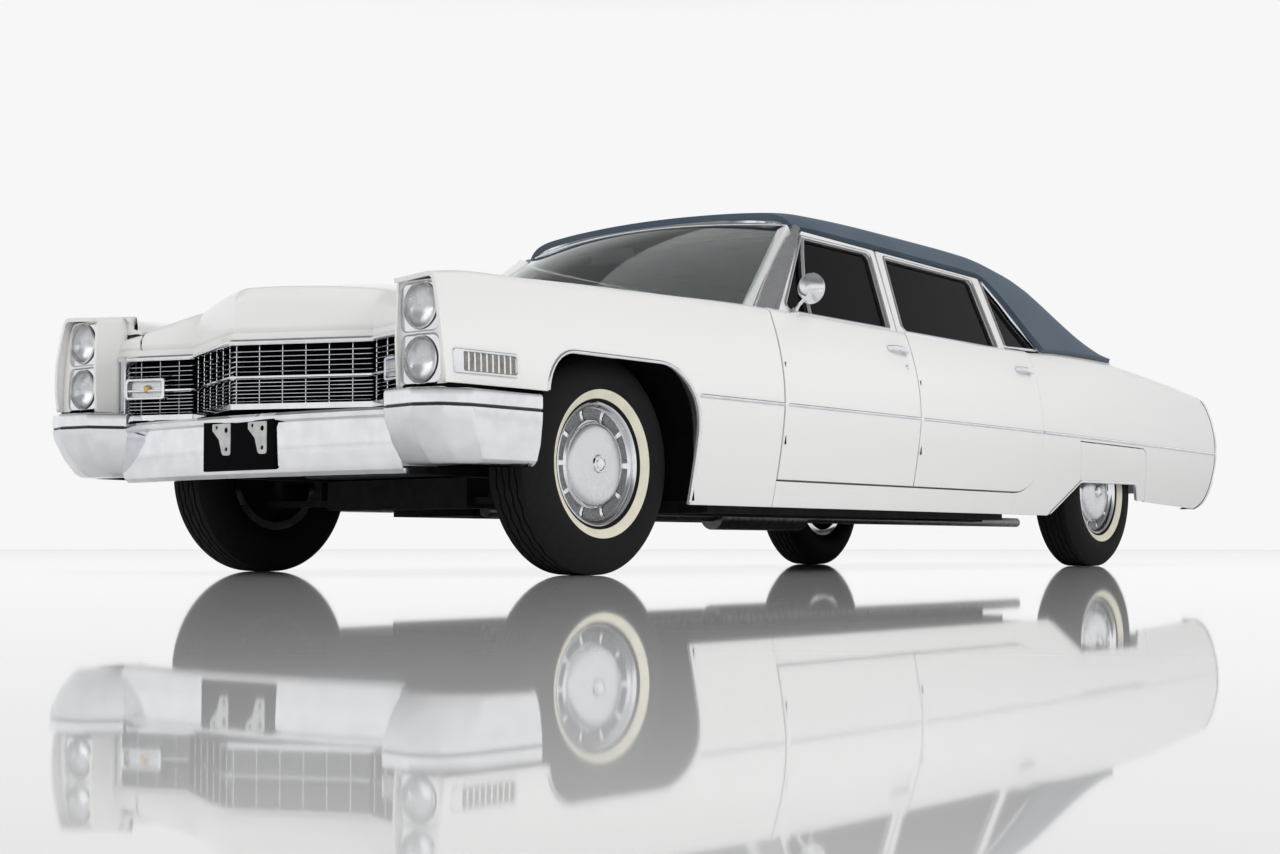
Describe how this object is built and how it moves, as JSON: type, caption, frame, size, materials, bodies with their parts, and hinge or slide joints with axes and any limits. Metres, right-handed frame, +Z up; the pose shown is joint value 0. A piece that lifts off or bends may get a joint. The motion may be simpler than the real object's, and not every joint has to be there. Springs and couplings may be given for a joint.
{
  "type": "limousine car",
  "caption": "Long four-door limousine with a vinyl roof, chrome egg-crate grille, stacked headlamps, opening doors, hood and trunk, steered front wheels.",
  "frame": {"origin": "on the road under the middle of the bounding box", "axes": "+X forward along the car, +Y to the left, +Z up"},
  "size_m": [6.2097, 2.0266, 1.462],
  "materials": {
    "paint": "gloss white enamel",
    "vinyl": "grained slate blue vinyl roof cover",
    "chrome": "bright plated steel",
    "glass": "clear laminated glass",
    "tinted_glass": "dark tinted glass",
    "lamp_glass": "clear fluted lens",
    "amber_lamp": "clear lens over amber",
    "red_lamp": "red lens",
    "tyre": "black rubber with cream sidewall band",
    "chassis": "satin black",
    "engine": "painted block",
    "trim_plastic": "grained",
    "upholstery": "dark blue cloth"
  },
  "bodies": {
    "body": {"frame": "chassis", "floor_pan": "chassis", "sills": "paint", "cowl": "paint", "center_posts": "paint", "front_fenders": "paint", "rear_quarters": "paint", "fender_skirts": "paint", "tail_panel": "paint", "roof": "vinyl", "windshield": "glass", "rear_window": "tinted_glass", "quarter_glass": "tinted_glass", "grille": "chrome", "headlamp_bezels": "chrome", "headlamps": "lamp_glass", "signal_lamps": "amber_lamp", "front_bumper": "chrome", "rear_bumper": "chrome", "tail_lamps": "red_lamp", "engine": "engine", "driveline": "chassis", "rear_axle": "chassis", "front_suspension": "chassis", "exhaust": "chassis", "fuel_tank": "chassis", "dashboard": "trim_plastic", "steering_wheel": "trim_plastic", "front_seat": "upholstery", "rear_seat": "upholstery", "hinges": "chassis"},
    "hood": {"hood": "paint"},
    "trunk_lid": {"trunk_lid": "paint"},
    "door_front_left": {"door_front_left": "paint", "glass_front_left": "tinted_glass"},
    "door_front_right": {"door_front_right": "paint", "glass_front_right": "tinted_glass"},
    "door_rear_left": {"door_rear_left": "paint", "glass_rear_left": "tinted_glass"},
    "door_rear_right": {"door_rear_right": "paint", "glass_rear_right": "tinted_glass"},
    "knuckle_left": {"knuckle_left": "chassis"},
    "knuckle_right": {"knuckle_right": "chassis"},
    "wheel_front_left": {"wheel_front_left": "chrome", "tyre_front_left": "tyre"},
    "wheel_front_right": {"wheel_front_right": "chrome", "tyre_front_right": "tyre"},
    "wheel_rear_left": {"wheel_rear_left": "chrome", "tyre_rear_left": "tyre"},
    "wheel_rear_right": {"wheel_rear_right": "chrome", "tyre_rear_right": "tyre"}
  },
  "joints": [
    {"name": "steer_left", "type": "hinge", "parent": "body", "child": "knuckle_left", "pos_m": [2.255, 0.69, 0.362], "axis": [0, 0, 1], "range_deg": [-32, 32]},
    {"name": "steer_right", "type": "hinge", "parent": "body", "child": "knuckle_right", "pos_m": [2.255, -0.69, 0.362], "axis": [0, 0, 1], "range_deg": [-32, 32]},
    {"name": "spin_front_left", "type": "hinge", "parent": "knuckle_left", "child": "wheel_front_left", "pos_m": [2.255, 0.7935, 0.362], "axis": [0, 1, 0], "continuous": true},
    {"name": "open_door_front_left", "type": "hinge", "parent": "body", "child": "door_front_left", "pos_m": [1.3555, 0.996, 0.604], "axis": [0, 0, -1], "range_deg": [0, 65]},
    {"name": "spin_front_right", "type": "hinge", "parent": "knuckle_right", "child": "wheel_front_right", "pos_m": [2.255, -0.7935, 0.362], "axis": [0, 1, 0], "continuous": true},
    {"name": "open_door_front_right", "type": "hinge", "parent": "body", "child": "door_front_right", "pos_m": [1.3555, -0.996, 0.604], "axis": [0, 0, 1], "range_deg": [0, 65]},
    {"name": "spin_rear_left", "type": "hinge", "parent": "body", "child": "wheel_rear_left", "pos_m": [-1.549, 0.7935, 0.362], "axis": [0, 1, 0], "continuous": true},
    {"name": "open_door_rear_left", "type": "hinge", "parent": "body", "child": "door_rear_left", "pos_m": [0.3925, 1, 0.604], "axis": [0, 0, -1], "range_deg": [0, 65]},
    {"name": "spin_rear_right", "type": "hinge", "parent": "body", "child": "wheel_rear_right", "pos_m": [-1.549, -0.7935, 0.362], "axis": [0, 1, 0], "continuous": true},
    {"name": "open_door_rear_right", "type": "hinge", "parent": "body", "child": "door_rear_right", "pos_m": [0.3925, -1, 0.604], "axis": [0, 0, 1], "range_deg": [0, 65]},
    {"name": "open_hood", "type": "hinge", "parent": "body", "child": "hood", "pos_m": [1.755, 0, 0.934], "axis": [0, -1, 0], "range_deg": [0, 50]},
    {"name": "open_trunk_lid", "type": "hinge", "parent": "body", "child": "trunk_lid", "pos_m": [-1.866, 0, 0.964], "axis": [0, 1, 0], "range_deg": [0, 75]}
  ],
  "couplings": [
    {"joint": "steer_right", "follows": "steer_left", "ratio": 1}
  ]
}
